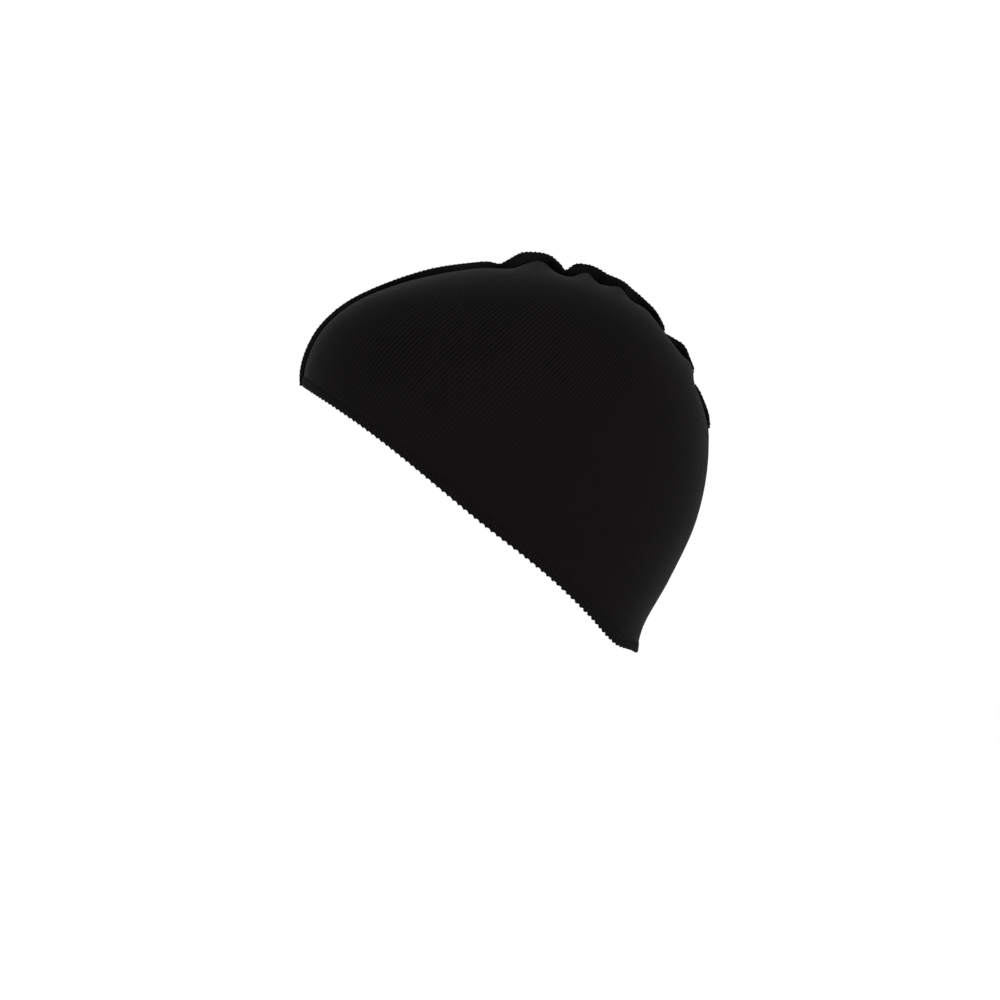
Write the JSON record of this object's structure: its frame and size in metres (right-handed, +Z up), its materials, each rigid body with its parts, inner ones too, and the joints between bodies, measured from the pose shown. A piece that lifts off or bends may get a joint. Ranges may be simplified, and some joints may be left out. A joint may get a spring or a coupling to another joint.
{
  "type": "wig cap",
  "caption": "Close rib-knit wig cap in worn form: thin dome with a slanting open hem, an overlocked edge, and a raised ruffled seam from forehead to rear crown.",
  "frame": {"origin": "the place inside the crown where the cap bears on a head, in the plane of symmetry", "axes": "+Z up, -Y the way the wearer faces, +X the wearer's left"},
  "size_m": [0.1538, 0.1974, 0.1923],
  "materials": {
    "rib_knit": "matt black rib knit",
    "overlock_thread": "matt black overlock thread"
  },
  "bodies": {
    "root": {"knit_crown": "rib_knit", "seam_ridge": "overlock_thread", "hem_edge": "overlock_thread"}
  },
  "joints": []
}
